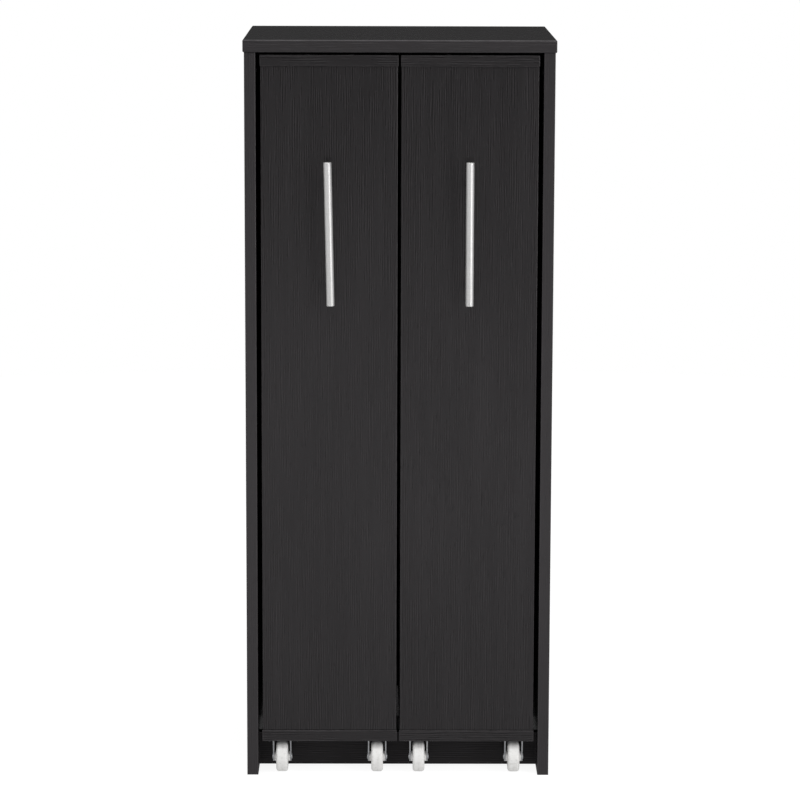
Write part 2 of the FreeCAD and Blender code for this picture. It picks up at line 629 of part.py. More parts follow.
def caster_wheel(centre_x, centre_y):
    """A moulded wheel with a ribbed web, a hub that fills the fork and a fine line round the tread."""
    middle = FreeCAD.Vector(centre_x, centre_y, WHEEL_RADIUS)
    tread = cylinder(WHEEL_RADIUS, WHEEL_WIDTH, middle - X * (WHEEL_WIDTH / 2), X)
    wheel = tread.makeFillet(WHEEL_EDGE_RADIUS, [edge for edge in tread.Edges if edge.isClosed()])

    rim_inner_radius = WHEEL_RADIUS - WHEEL_RIM_THICKNESS
    pocket_floor = WHEEL_WIDTH / 2 - WHEEL_POCKET_DEPTH
    for outward in (-X, X):
        floor = middle + outward * pocket_floor
        pocket = cylinder(rim_inner_radius, WHEEL_POCKET_DEPTH, floor, outward)
        pocket = pocket.cut(cylinder(WHEEL_HUB_RADIUS, WHEEL_POCKET_DEPTH, floor, outward))
        ribs = []
        for index in range(WHEEL_RIB_COUNT):
            rib = box(
                centred(centre_x, WHEEL_WIDTH),
                centred(centre_y, WHEEL_RIB_THICKNESS),
                (WHEEL_RADIUS, WHEEL_DIAMETER),
            )
            rib.rotate(middle, X, index * 360 / WHEEL_RIB_COUNT)
            ribs.append(rib)
        wheel = wheel.cut(pocket.cut(ribs))

    hub_width = FORK_OUTER_WIDTH - 2 * FORK_SHEET - 2 * WHEEL_HUB_SIDE_GAP
    hub = cylinder(WHEEL_HUB_RADIUS, hub_width, middle - X * (hub_width / 2), X)
    wheel = wheel.fuse(hub).removeSplitter()
    bore = cylinder(AXLE_RADIUS + RUNNING_FIT, hub_width, middle - X * (hub_width / 2), X)

    line_start = middle - X * (MOULD_LINE_WIDTH / 2)
    line = cylinder(WHEEL_DIAMETER, MOULD_LINE_WIDTH, line_start, X)
    line = line.cut(cylinder(WHEEL_RADIUS - MOULD_LINE_DEPTH, MOULD_LINE_WIDTH, line_start, X))
    return wheel.cut([bore, line])


def caster_screws(centre_x, centre_y):
    """Four screws up through the plate into the unit's bottom board."""
    size = (
        CASTER_SCREW_RADIUS,
        CASTER_SCREW_LENGTH,
        CASTER_SCREW_HEAD_RADIUS,
        CASTER_SCREW_HEAD_HEIGHT,
    )
    screws, tools = [], []
    for x in centred(centre_x, PLATE_HOLE_SPACING_X):
        for y in centred(centre_y, PLATE_HOLE_SPACING_Y):
            seat = FreeCAD.Vector(x, y, UNIT_BASE_Z - FORK_SHEET)
            screws.append(screw(seat, Z, *size).cut(cross_recess(seat, Z, CASTER_SCREW_HEAD_RADIUS)))
            tools.append(screw(seat, Z, *size, fit=SEAT_FIT))
    return screws, tools


def casters(side, centre_x):
    """The four fixed casters under one unit, and the holes in its bottom board."""
    parts, forks, axles, screws, tools = {}, [], [], [], []
    corners = {
        "front_left": (centre_x - CASTER_OFFSET_X, FRONT_CASTER_Y),
        "front_right": (centre_x + CASTER_OFFSET_X, FRONT_CASTER_Y),
        "rear_left": (centre_x - CASTER_OFFSET_X, REAR_CASTER_Y),
        "rear_right": (centre_x + CASTER_OFFSET_X, REAR_CASTER_Y),
    }
    for corner, (x, y) in corners.items():
        corner_screws, corner_tools = caster_screws(x, y)
        axle_way_start = FreeCAD.Vector(x - FORK_OUTER_WIDTH / 2, y, WHEEL_RADIUS)
        axle_way = cylinder(AXLE_RADIUS + SEAT_FIT, FORK_OUTER_WIDTH, axle_way_start, X)
        forks.append(caster_fork(x, y).cut(corner_tools + [axle_way]))
        axles.append(caster_axle(x, y))
        screws.extend(corner_screws)
        tools.extend(corner_tools)
        parts["%s_%s_wheel" % (side, corner)] = caster_wheel(x, y)
    parts[side + "_caster_forks"] = group(forks)
    parts[side + "_caster_axles"] = group(axles)
    parts[side + "_caster_screws"] = group(screws)
    return parts, tools


def roll_out_unit(side, sign):
    """Every piece of one roll-out unit."""
    centre_x = sign * UNIT_CENTRE_X
    parts, tools = casters(side, centre_x)
    makers = {
        "shelf_pins": shelf_pins,
        "retaining_rods": retaining_rods,
        "unit_screws": unit_screws,
        "guide_pegs": guide_pegs,
    }
    for name, maker in makers.items():
        solids, holes = maker(centre_x)
        parts["%s_%s" % (side, name)] = group(solids)
        tools.extend(holes)

    bar, posts, screws, holes = handle(side, centre_x)
    parts[side + "_handle_bar"] = bar
    parts[side + "_handle_posts"] = group(posts)
    parts[side + "_handle_screws"] = group(screws)
    tools.extend(holes)

    for name, board in unit_boards(centre_x).items():
        parts["%s_%s" % (side, name)] = board.cut(tools)
    return parts


def main():
    parts = carcass()
    parts.update(roll_out_unit("left", -1))
    parts.update(roll_out_unit("right", 1))
    os.makedirs("parts", exist_ok=True)
    for name, shape in parts.items():
        shape.exportStep("parts/%s.step" % name)
    print("%d nodes, travel %.1f mm" % (len(parts), TRAVEL))


if __name__ == "__main__":
    main()
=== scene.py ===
"""Finishes and studio for the shoe cabinet with two roll-out units."""

import math

import bpy
from mathutils import Matrix, Vector


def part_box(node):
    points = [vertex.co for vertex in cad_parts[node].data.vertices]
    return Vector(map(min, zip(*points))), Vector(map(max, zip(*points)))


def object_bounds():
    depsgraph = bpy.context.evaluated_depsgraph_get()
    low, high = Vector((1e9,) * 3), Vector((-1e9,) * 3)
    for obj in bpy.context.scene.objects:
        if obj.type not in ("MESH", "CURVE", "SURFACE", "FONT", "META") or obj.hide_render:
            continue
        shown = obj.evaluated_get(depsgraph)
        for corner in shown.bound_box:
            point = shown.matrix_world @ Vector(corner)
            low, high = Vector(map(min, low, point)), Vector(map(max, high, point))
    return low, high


bl_info = {
    "name": "Roll-out shoe cabinet",
    "version": (1, 0, 0),
    "blender": (4, 5, 0),
    "location": "3D View > Sidebar > Shoe cabinet",
    "description": "Dresses the packed cabinet in dark laminate, steel, zinc and nylon, and lights it",
    "category": "Object",
}

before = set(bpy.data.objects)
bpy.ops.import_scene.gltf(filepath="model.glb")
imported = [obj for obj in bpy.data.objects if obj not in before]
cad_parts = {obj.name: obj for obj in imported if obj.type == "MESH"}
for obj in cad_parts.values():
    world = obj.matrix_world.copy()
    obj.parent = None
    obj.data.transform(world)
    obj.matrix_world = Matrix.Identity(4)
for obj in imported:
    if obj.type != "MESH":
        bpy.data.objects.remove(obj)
CAD_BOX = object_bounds()
AXES = "xyz"
SIDES = ("left", "right")
CORNERS = ("front_left", "front_right", "rear_left", "rear_right")
SHELVES = tuple("shelf_%d" % number for number in range(1, 6))
FLOOR_SIDES = 96

# The laminate: pattern sizes across and along the grain, how far in radians the fine lines wander,
# and how much each pattern shows
TONE_SIZE = (0.07, 0.30)
WANDER_SIZE = (0.012, 0.10)
WANDER_ANGLE = 9.0
CLEARING_WIDTH = 0.006
PATCH_SIZE = 0.012
BASE_SHARE = 0.40
LINE_SHARE = 0.60
STREAK_SHARE = 0.12
TONE_SHARE = 0.10
BAND_COVER = 0.6
PORE_COVER = 0.3
# The next share is how much the rubbed wear and the painted highlight show on the arrises
RUB_AND_HIGHLIGHT_COVER = 0.5
LINE_ROUGHNESS = 0.03
PORE_ROUGHNESS = 0.10
RUB_POLISH = 0.06
EMBOSSING = 0.4
SHEEN_TINT = (1.0, 0.955, 0.985)

# The share of the edge band's thickness that is covered in full
FULL_BAND = 0.8

# How far a board's pattern is shifted for each step in the letters of its name
LETTER_SHIFT = 0.37

# How far inside a wheel's rim the scuffing starts, and where it is full
SCUFF_START = 0.0022
SCUFF_FULL = 0.0004

# How far inside the cabinet's outline the floor's glow fades out, and how dark the floor's mottle is
GLOW_SIDE_FADE = 0.03
GLOW_END_FADE = 0.02
FLOOR_MOTTLE = 0.99

# Where the dome changes, as a direction's share of straight up: the sky, then the band's two edges
SKY_FADE = (-0.05, 0.50)
BAND_UPPER_FADE = (-0.10, -0.17)
BAND_LOWER_FADE = (-0.19, -0.27)

# Where the band ends towards the back, as a direction's share of straight behind
BAND_END_FADE = (0.92, 0.75)

# Where each soft light stands, and its width and height
KEY_PLACE = (2.3, -2.5, 1.75)
KEY_SIZE = (1.0, 1.4)
LOW_KEY_PLACE = (2.3, -2.5, 0.65)
LOW_KEY_SIZE = (0.9, 0.8)
FILL_PLACE = (-2.6, -2.0, 1.70)
FILL_SIZE = (1.2, 1.5)
TOP_PLACE = (0, -1.0, 2.5)
TOP_SIZE = (1.6, 0.8)

# The way the grain runs on each board
CARCASS_GRAIN = {
    "top_board": "x",
    "left_side_panel": "z",
    "right_side_panel": "z",
    "kick_board": "x",
    "lower_rear_rail": "x",
    "upper_rear_rail": "x",
}
UNIT_GRAIN = {
    "front_panel": "z",
    "unit_back": "z",
    "unit_top": "x",
    "unit_bottom": "x",
}


class LaminateProperties(bpy.types.PropertyGroup):
    """The dark wood-grain laminate on every board."""

    face_colour: bpy.props.FloatVectorProperty(
        name="Face", description="Colour of the laminate", subtype="COLOR", size=3, min=0, max=1,
        default=(0.0056, 0.0052, 0.0054),
    )
    streak_colour: bpy.props.FloatVectorProperty(
        name="Streak", description="Colour of the paler streaks", subtype="COLOR", size=3, min=0, max=1,
        default=(0.0185, 0.0172, 0.0180),
    )
    pore_colour: bpy.props.FloatVectorProperty(
        name="Pore", description="Colour in the embossed pores", subtype="COLOR", size=3, min=0, max=1,
        default=(0.0020, 0.0019, 0.0020),
    )
    # The rubbed-edge colour is partly wear and partly a painted highlight on the arrises, where rounded
    # edges would catch the light
    rub_and_highlight_colour: bpy.props.FloatVectorProperty(
        name="Rubbed edge and painted highlight", description="Colour where the edges are rubbed and given a painted highlight", subtype="COLOR", size=3,
        min=0, max=1, default=(0.044, 0.041, 0.043),
    )
    band_colour: bpy.props.FloatVectorProperty(
        name="Edge band", description="Colour of the band on the carcass boards' front edges",
        subtype="COLOR", size=3, min=0, max=1, default=(0.0240, 0.0224, 0.0234),
    )
    band_thickness: bpy.props.FloatProperty(
        name="Band thickness", description="Thickness of the edge band", unit="LENGTH", default=0.0008,
    )
    line_pitch: bpy.props.FloatProperty(
        name="Line pitch", description="Distance between two fine lines of the grain", unit="LENGTH",
        default=0.0037,
    )
    line_length: bpy.props.FloatProperty(
        name="Line length", description="Length of a fine line of the grain", unit="LENGTH",
        default=0.038,
    )
    streak_width: bpy.props.FloatProperty(
        name="Streak width", description="Width of a broad streak across the grain", unit="LENGTH",
        default=0.011,
    )
    streak_length: bpy.props.FloatProperty(
        name="Streak length", description="Length of a broad streak along the grain", unit="LENGTH",
        default=0.32,
    )
    pore_width: bpy.props.FloatProperty(
        name="Pore width", description="Width of an embossed pore", unit="LENGTH", default=0.0011,
    )
    pore_length: bpy.props.FloatProperty(
        name="Pore length", description="Length of an embossed pore", unit="LENGTH", default=0.016,
    )
    relief: bpy.props.FloatProperty(
        name="Relief", description="Depth of the embossing", unit="LENGTH", default=0.00010,
    )
    # How far both the rubbing and the painted highlight reach in from the arrises
    rub_and_highlight_reach: bpy.props.FloatProperty(
        name="Rub width", description="How far the rubbing and the painted highlight reach from an edge", unit="LENGTH",
        default=0.0020,
    )
    roughness: bpy.props.FloatProperty(
        name="Roughness", description="Roughness of the satin face", subtype="FACTOR", min=0, max=1,
        default=0.23,
    )
    gloss: bpy.props.FloatProperty(
        name="Gloss", description="Strength of the satin reflection", subtype="FACTOR", min=0, max=1,
        default=0.26,
    )
    # The kick board's weaker reflection is painted shade: it darkens the board as the shade under the units
    # would
    shaded_gloss: bpy.props.FloatProperty(
        name="Kick board gloss", description="Strength of the reflection on the kick board, kept weak as painted shade",
        subtype="FACTOR", min=0, max=1, default=0.10,
    )


class HardwareProperties(bpy.types.PropertyGroup):
    """The metals and the nylon."""

    satin_colour: bpy.props.FloatVectorProperty(
        name="Satin steel", description="Colour of the handles", subtype="COLOR", size=3, min=0, max=1,
        default=(0.66, 0.655, 0.65),
    )
    satin_line: bpy.props.FloatProperty(
        name="Brush line", description="Width of a brushed line", unit="LENGTH", default=0.00035,
    )
    zinc_colour: bpy.props.FloatVectorProperty(
        name="Zinc", description="Colour of the zinc plate", subtype="COLOR", size=3, min=0, max=1,
        default=(0.66, 0.67, 0.69),
    )
    chrome_colour: bpy.props.FloatVectorProperty(
        name="Chrome", description="Colour of the chrome rods", subtype="COLOR", size=3, min=0, max=1,
        default=(0.74, 0.75, 0.76),
    )
    aluminium_colour: bpy.props.FloatVectorProperty(
        name="Aluminium", description="Colour of the guide channels", subtype="COLOR", size=3,
        min=0, max=1, default=(0.62, 0.63, 0.64),
    )
    wheel_colour: bpy.props.FloatVectorProperty(
        name="Wheel", description="Colour of the white nylon wheels", subtype="COLOR", size=3,
        min=0, max=1, default=(0.60, 0.595, 0.585),
    )
    scuff_colour: bpy.props.FloatVectorProperty(
        name="Scuff", description="Colour of the grime on the treads", subtype="COLOR", size=3,
        min=0, max=1, default=(0.34, 0.335, 0.32),
    )
    peg_colour: bpy.props.FloatVectorProperty(
        name="Peg", description="Colour of the black nylon pegs", subtype="COLOR", size=3, min=0, max=1,
        default=(0.018, 0.018, 0.019),
    )
    beech_colour: bpy.props.FloatVectorProperty(
        name="Beech", description="Colour of the dowels", subtype="COLOR", size=3, min=0, max=1,
        default=(0.48, 0.30, 0.16),
    )


class StudioProperties(bpy.types.PropertyGroup):
    """The floor, the lights and the camera."""

    lens: bpy.props.FloatProperty(
        name="Lens", description="Focal length in millimetres", default=149.03, min=10,
    )
    distance: bpy.props.FloatProperty(
        name="Distance", description="From the camera to the side panels' front edges", unit="LENGTH",
        default=5.233,
    )
    height: bpy.props.FloatProperty(
        name="Height", description="Height of the camera", unit="LENGTH", default=1.508,
    )
    offset: bpy.props.FloatProperty(
        name="Offset", description="How far the camera stands to the right", unit="LENGTH",
        default=-0.029,
    )
    pitch: bpy.props.FloatProperty(
        name="Pitch", description="How far the camera looks down", subtype="ANGLE",
        default=math.radians(9.617),
    )
    heading: bpy.props.FloatProperty(
        name="Heading", description="How far the camera is turned to the left", subtype="ANGLE",
        default=math.radians(-0.337),
    )
    roll: bpy.props.FloatProperty(
        name="Roll", description="How far the camera is turned about its own axis", subtype="ANGLE",
        default=math.radians(0.165),
    )
    floor_colour: bpy.props.FloatVectorProperty(
        name="Floor", description="Colour of the pale floor", subtype="COLOR", size=3, min=0, max=1,
        default=(0.15, 0.15, 0.15),
    )
    floor_radius: bpy.props.FloatProperty(
        name="Floor radius", description="Radius of the round floor", unit="LENGTH", default=4.0,
    )
    floor_glow: bpy.props.FloatProperty(
        name="Floor glow", description="Light that the floor gives off round the cabinet",
        default=0.90, min=0,
    )
    sky: bpy.props.FloatProperty(
        name="Sky", description="Strength of the white dome", default=1.15, min=0,
    )
    dusk: bpy.props.FloatProperty(
        name="Dusk", description="Strength of the dome at the horizon", default=0.05, min=0,
    )
    ground: bpy.props.FloatProperty(
        name="Ground", description="Strength of the bright band below the horizon", default=2.1, min=0,
    )
    nadir: bpy.props.FloatProperty(
        name="Nadir", description="Share of the band's strength that is left below it", default=0.15,
        min=0, max=1,
    )
    lean: bpy.props.FloatProperty(
        name="Lean", description="How far the dim part reaches up behind the cabinet", default=0.55,
    )
    key_strength: bpy.props.FloatProperty(
        name="Key", description="Strength of the tall light and the low light at the right",
        default=7.6, min=0,
    )
    fill_strength: bpy.props.FloatProperty(
        name="Fill", description="Strength of the tall light at the left", default=1.8, min=0,
    )
    top_strength: bpy.props.FloatProperty(
        name="Top", description="Strength of the light above the front", default=3.5, min=0,
    )


class Value:
    """A number socket that can stand in a Python expression; each operation adds a Math node."""

    def __init__(self, nodes, socket):
        self.nodes = nodes
        self.socket = socket

    def _math(self, operation, *terms):
        node = self.nodes.add("ShaderNodeMath", {"operation": operation}, dict(enumerate(terms)))
        return Value(self.nodes, node.outputs[0])

    def __add__(self, other):
        return self._math("ADD", self, other)

    __radd__ = __add__

    def __sub__(self, other):
        return self._math("SUBTRACT", self, other)

    def __rsub__(self, other):
        return self._math("SUBTRACT", other, self)

    def __mul__(self, other):
        return self._math("MULTIPLY", self, other)

    def __abs__(self):
        return self._math("ABSOLUTE", self)

    def sine(self):
        return self._math("SINE", self)

    def lower(self, other):
        return self._math("MINIMUM", self, other)

    def higher(self, other):
        return self._math("MAXIMUM", self, other)

    def ramp(self, start, end, low=0.0, high=1.0):
        """Goes smoothly from low to high as the value goes from start to end."""
        node = self.nodes.add(
            "ShaderNodeMapRange",
            {"interpolation_type": "SMOOTHSTEP", "clamp": True},
            {"Value": self, "From Min": start, "From Max": end, "To Min": low, "To Max": high},
        )
        return Value(self.nodes, node.outputs["Result"])


class Nodes:
    """A node tree that is built by adding nodes."""

    def __init__(self, tree, coordinate):
        self.tree = tree
        self.coordinate = coordinate
        self._place = None

    def add(self, kind, settings=None, sockets=None):
        """Adds a node, sets its settings, then fills or links its sockets."""
        node = self.tree.nodes.new(kind)
        for key, value in (settings or {}).items():
            setattr(node, key, value)
        for key, value in (sockets or {}).items():
            self.fill(node.inputs[key], value)
        return node

    def fill(self, socket, value):
        """Links a socket to another one, or gives it a constant."""
        if isinstance(value, Value):
            value = value.socket
        if isinstance(value, bpy.types.NodeSocket):
            self.tree.links.new(value, socket)
        elif socket.type == "RGBA":
            socket.default_value = (*value, 1.0)
        else:
            socket.default_value = value

    def place(self):
        if self._place is None:
            self._place = self.add("ShaderNodeTexCoord").outputs[self.coordinate]
        return self._place

    def components(self):
        node = self.add("ShaderNodeSeparateXYZ", sockets={0: self.place()})
        return [Value(self, output) for output in node.outputs]

    def noise(self, sizes, detail=2.0, roughness=0.5, distortion=0.0, shift=0.0):
        """Noise whose grains have the given size along each axis, in metres."""
        scaled = self.add(
            "ShaderNodeVectorMath",
            {"operation": "MULTIPLY_ADD"},
            {0: self.place(), 1: [1 / size for size in sizes], 2: (shift, shift, shift)},
        )
        node = self.add(
            "ShaderNodeTexNoise",
            {"noise_dimensions": "3D"},
            {
                "Vector": scaled.outputs[0],
                "Scale": 1.0,
                "Detail": detail,
                "Roughness": roughness,
                "Distortion": distortion,
            },
        )
        return Value(self, node.outputs["Fac"])

    def mix(self, factor, low, high):
        """A colour between two colours."""
        node = self.add("ShaderNodeMix", {"data_type": "RGBA", "blend_type": "MIX"})
        terms = {"Factor_Float": factor, "A_Color": low, "B_Color": high}
        for socket in node.inputs:
            if socket.identifier in terms:
                self.fill(socket, terms[socket.identifier])
        return next(output for output in node.outputs if output.identifier == "Result_Color")


class Finish(Nodes):
    """One material; a point's place is in the row's frame at rest."""

    def __init__(self, name):
        self.material = bpy.data.materials.new(name)
        self.material.use_nodes = True
        super().__init__(self.material.node_tree, "Object")

    def bump(self, height, distance):
        return self.add("ShaderNodeBump", sockets={"Height": height, "Distance": distance}).outputs["Normal"]

    def surface(self, **sockets):
        """Fills the shader's sockets: Base_Color=..., Roughness=... and so on."""
        shader = self.tree.nodes["Principled BSDF"]
        for key, value in sockets.items():
            self.fill(shader.inputs[key.replace("_", " ")], value)
        return self.material


def stretched(grain, across, along):
    """Sizes along x, y and z for a pattern that runs along the grain."""
    return [along if axis == grain else across for axis in AXES]


def edge_closeness(finish, low, high, reach):
    """One on a board's arrises, falling to nothing at the reach."""
    gaps = []
    for value, start, end in zip(finish.components(), low, high):
        gaps.append((end - start) / 2 - abs(value - (start + end) / 2))
    a, b, c = gaps
    second = a.higher(b).lower(b.higher(c)).lower(a.higher(c))
    return second.ramp(reach, 0.0)


def shade(colour, factor):
    """A colour with each part multiplied by a factor."""
    return [part * factor for part in colour]


def laminate_finish(node, grain, style, gloss, banded=False):
    """Dark laminate on one board: slow tone, broad streaks, fine lines, pores, and arrises that are rubbed
    and carry a painted highlight.
    """
    low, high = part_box(node)
    finish = Finish("laminate_" + node)
    shift = sum(ord(letter) for letter in node) * LETTER_SHIFT

    def pattern(across, along, detail):
        return finish.noise(stretched(grain, across, along), detail, shift=shift)

    tone = pattern(*TONE_SIZE, 1.0).ramp(0.35, 0.65)
    streak = pattern(style.streak_width, style.streak_length, 2.0).ramp(0.35, 0.68)
    pore = pattern(style.pore_width, style.pore_length, 1.0).ramp(0.62, 0.74)
    wander = pattern(*WANDER_SIZE, 1.0) * WANDER_ANGLE
    crosswise = [value for axis, value in zip(AXES, finish.components()) if axis != grain]
    wave = ((crosswise[0] + crosswise[1]) * (2 * math.pi / style.line_pitch) + wander).sine()
    clear = pattern(CLEARING_WIDTH, style.line_length, 1.0).ramp(0.40, 0.64, 0.05, 1.0)
    line = wave * clear
    patches = finish.noise((PATCH_SIZE, PATCH_SIZE, PATCH_SIZE), detail=3.0, shift=shift)
    patchy = patches.ramp(0.30, 0.60, 0.35, 1.0)
    # Paler arrises: partly rubbed wear, partly a painted highlight where the rounded edges catch the light
    rub_and_highlight_mask = edge_closeness(finish, low, high, style.rub_and_highlight_reach) * patchy

    share = BASE_SHARE + line * LINE_SHARE + (streak - 0.5) * STREAK_SHARE + (tone - 0.5) * TONE_SHARE
    colour = finish.mix(share, style.face_colour, style.streak_colour)
    if banded:
        front = finish.components()[1]
        band = front.ramp(low.y + style.band_thickness, low.y + style.band_thickness * FULL_BAND)
        colour = finish.mix(band * BAND_COVER, colour, style.band_colour)
    colour = finish.mix(pore * PORE_COVER, colour, style.pore_colour)
    colour = finish.mix(rub_and_highlight_mask * RUB_AND_HIGHLIGHT_COVER, colour, style.rub_and_highlight_colour)
    return finish.surface(
        Base_Color=colour,
        Roughness=style.roughness + line * LINE_ROUGHNESS + pore * PORE_ROUGHNESS - rub_and_highlight_mask * RUB_POLISH,
        Specular_IOR_Level=gloss,
        Specular_Tint=SHEEN_TINT,
        Normal=finish.bump(line * EMBOSSING - pore * EMBOSSING, style.relief),
    )


def hardboard_finish(style):
    """Thin hardboard with a dark foil face: even, with a faint fibre."""
    finish = Finish("dark_hardboard")
    fibre = finish.noise((0.0016, 0.0016, 0.006), detail=4.0, roughness=0.7)
    cloud = finish.noise((0.15, 0.15, 0.25), detail=2.0)
    share = fibre.ramp(0.35, 0.70) * 0.7 + cloud.ramp(0.3, 0.7) * 0.3
    return finish.surface(
        Base_Color=finish.mix(share, style.face_colour, style.streak_colour),
        Roughness=0.58 + fibre * 0.14,
        Specular_IOR_Level=style.gloss,
        Normal=finish.bump(fibre, 0.00008),
    )


def satin_steel_finish(colour, line):
    """Satin steel turned and brushed round the bar."""
    finish = Finish("satin_steel")
    lines = finish.noise((0.02, 0.02, line), detail=3.0, roughness=0.6)
    smudge = finish.noise((0.012, 0.012, 0.03), detail=2.0).ramp(0.45, 0.75)
    darker = shade(colour, 0.88)
    return finish.surface(
        Base_Color=finish.mix(lines.ramp(0.3, 0.7), darker, colour),
        Metallic=0.72,
        Roughness=0.36 + lines * 0.08 + smudge * 0.05,
        Normal=finish.bump(lines, 0.00001),
    )


def zinc_finish(name, colour, rough=0.30):
    """Bright zinc plate with a faint cloudy spangle and fine handling marks."""
    finish = Finish(name)
    spangle = finish.noise((0.004, 0.004, 0.004), detail=2.0, distortion=1.2)
    marks = finish.noise((0.0006, 0.006, 0.006), detail=3.0, roughness=0.7)
    darker = shade(colour, 0.80)
    return finish.surface(
        Base_Color=finish.mix(spangle.ramp(0.35, 0.65), darker, colour),
        Metallic=1.0,
        Roughness=rough + spangle * 0.10 + marks.ramp(0.55, 0.75) * 0.12,
        Normal=finish.bump(spangle * 0.6 + marks * 0.4, 0.00003),
    )


def chrome_finish(colour):
    """Polished chrome with the faintest waviness."""
    finish = Finish("chrome_rod")
    wave = finish.noise((0.006, 0.05, 0.006), detail=2.0)
    dust = finish.noise((0.002, 0.002, 0.002), detail=3.0, roughness=0.7).ramp(0.62, 0.80)
    return finish.surface(
        Base_Color=finish.mix(dust * 0.5, colour, shade(colour, 0.7)),
        Metallic=1.0,
        Roughness=0.10 + dust * 0.18,
        Normal=finish.bump(wave, 0.00004),
    )


def extrusion_finish(colour):
    """Plain aluminium with die lines along its length."""
    finish = Finish("channel_aluminium")
    lines = finish.noise((0.0005, 0.30, 0.0005), detail=3.0, roughness=0.6)
    return finish.surface(
        Base_Color=finish.mix(lines.ramp(0.3, 0.7), shade(colour, 0.82), colour),
        Metallic=1.0,
        Roughness=0.36 + lines * 0.14,
        Normal=finish.bump(lines, 0.00002),
    )


def wheel_finish(node, style):
    """White moulded nylon with a scuffed tread."""
    low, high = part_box(node)
    middle = (low + high) / 2
    radius = (high.z - low.z) / 2
    finish = Finish("nylon_" + node)
    along, up = finish.components()[1:]
    height = up - middle.z
    depth = along - middle.y
    reach = height * height + depth * depth
    on_tread = reach.ramp((radius - SCUFF_START) ** 2, (radius - SCUFF_FULL) ** 2)
    texture = finish.noise((0.0012, 0.0012, 0.0012), detail=3.0, roughness=0.6)
    grime = finish.noise((0.006, 0.004, 0.004), detail=4.0, roughness=0.7).ramp(0.48, 0.72)
    colour = finish.mix(on_tread * grime * 0.45, style.wheel_colour, style.scuff_colour)
    return finish.surface(
        Base_Color=colour,
        Roughness=0.40 + texture * 0.10 + on_tread * grime * 0.20,
        Normal=finish.bump(texture, 0.00004),
    )


def peg_finish(colour):
    """Black moulded nylon with polished runs."""
    finish = Finish("black_nylon")
    texture = finish.noise((0.0008, 0.0008, 0.0008), detail=3.0, roughness=0.6)
    scratch = finish.noise((0.0004, 0.01, 0.002), detail=2.0).ramp(0.58, 0.72)
    return finish.surface(
        Base_Color=finish.mix(scratch * 0.4, colour, shade(colour, 2.6)),
        Roughness=0.42 + texture * 0.12 - scratch * 0.10,
        Normal=finish.bump(texture, 0.00005),
    )


def beech_finish(colour):
    """Plain beech with short darker rays."""
    finish = Finish("beech")
    rays = finish.noise((0.0012, 0.0012, 0.006), detail=4.0, roughness=0.65)
    return finish.surface(
        Base_Color=finish.mix(rays.ramp(0.35, 0.7), colour, shade(colour, 0.62)),
        Roughness=0.62 + rays * 0.12,
        Normal=finish.bump(rays, 0.00010),
    )


def dress(node, material):
    """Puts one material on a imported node."""
    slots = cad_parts[node].material_slots
    if not slots:
        raise RuntimeError("node %s has no material slot" % node)
    for slot in slots:
        slot.material = material


class DressCarcass(bpy.types.Operator):
    """Lay the laminate on the fixed carcass, and the foil on its back"""

    bl_idname = "shoe_cabinet.dress_carcass"
    bl_label = "Carcass boards"

    def execute(self, context):
        style = context.scene.laminate
        for node, grain in CARCASS_GRAIN.items():
            # The kick board gets the weaker reflection as painted shade for the shade it sits in
            gloss = style.shaded_gloss if node == "kick_board" else style.gloss
            banded = grain != "x" or node == "top_board"
            dress(node, laminate_finish(node, grain, style, gloss, banded))
        dress("back_panel", hardboard_finish(style))
        return {"FINISHED"}


class DressUnits(bpy.types.Operator):
    """Lay the laminate on the boards of both roll-out units"""

    bl_idname = "shoe_cabinet.dress_units"
    bl_label = "Roll-out unit boards"

    def execute(self, context):
        style = context.scene.laminate
        for side in SIDES:
            for board, grain in UNIT_GRAIN.items():
                node = "%s_%s" % (side, board)
                dress(node, laminate_finish(node, grain, style, style.gloss))
            for board in SHELVES:
                node = "%s_%s" % (side, board)
                dress(node, laminate_finish(node, "y", style, style.gloss))
        return {"FINISHED"}


class DressHandles(bpy.types.Operator):
    """Brush the handle bars and their posts"""

    bl_idname = "shoe_cabinet.dress_handles"
    bl_label = "Handles"

    def execute(self, context):
        style = context.scene.hardware
        material = satin_steel_finish(style.satin_colour, style.satin_line)
        for side in SIDES:
            dress(side + "_handle_bar", material)
            dress(side + "_handle_posts", material)
        return {"FINISHED"}


class DressCasters(bpy.types.Operator):
    """Plate the caster forks and axles with zinc, and mould the white wheels"""

    bl_idname = "shoe_cabinet.dress_casters"
    bl_label = "Casters"

    def execute(self, context):
        style = context.scene.hardware
        plate = zinc_finish("zinc_fork", style.zinc_colour)
        for side in SIDES:
            dress(side + "_caster_forks", plate)
            dress(side + "_caster_axles", plate)
            for corner in CORNERS:
                node = "%s_%s_wheel" % (side, corner)
                dress(node, wheel_finish(node, style))
        return {"FINISHED"}


class DressFittings(bpy.types.Operator):
    """Finish the screws, cam locks, shelf pins, dowels, rods, channels and pegs"""

    bl_idname = "shoe_cabinet.dress_fittings"
    bl_label = "Fittings"

    def execute(self, context):
        style = context.scene.hardware
        zinc = zinc_finish("zinc_fittings", style.zinc_colour, rough=0.36)
        dress("carcass_cam_locks", zinc)
        dress("back_panel_screws", zinc)
        dress("carcass_dowels", beech_finish(style.beech_colour))
        chrome = chrome_finish(style.chrome_colour)
        peg = peg_finish(style.peg_colour)
        channel = extrusion_finish(style.aluminium_colour)
        for side in SIDES:
            for part in ("shelf_pins", "unit_screws", "caster_screws", "handle_screws"):
                dress("%s_%s" % (side, part), zinc)
            dress(side + "_retaining_rods", chrome)
            dress(side + "_guide_pegs", peg)
            dress(side + "_guide_channel", channel)
        return {"FINISHED"}


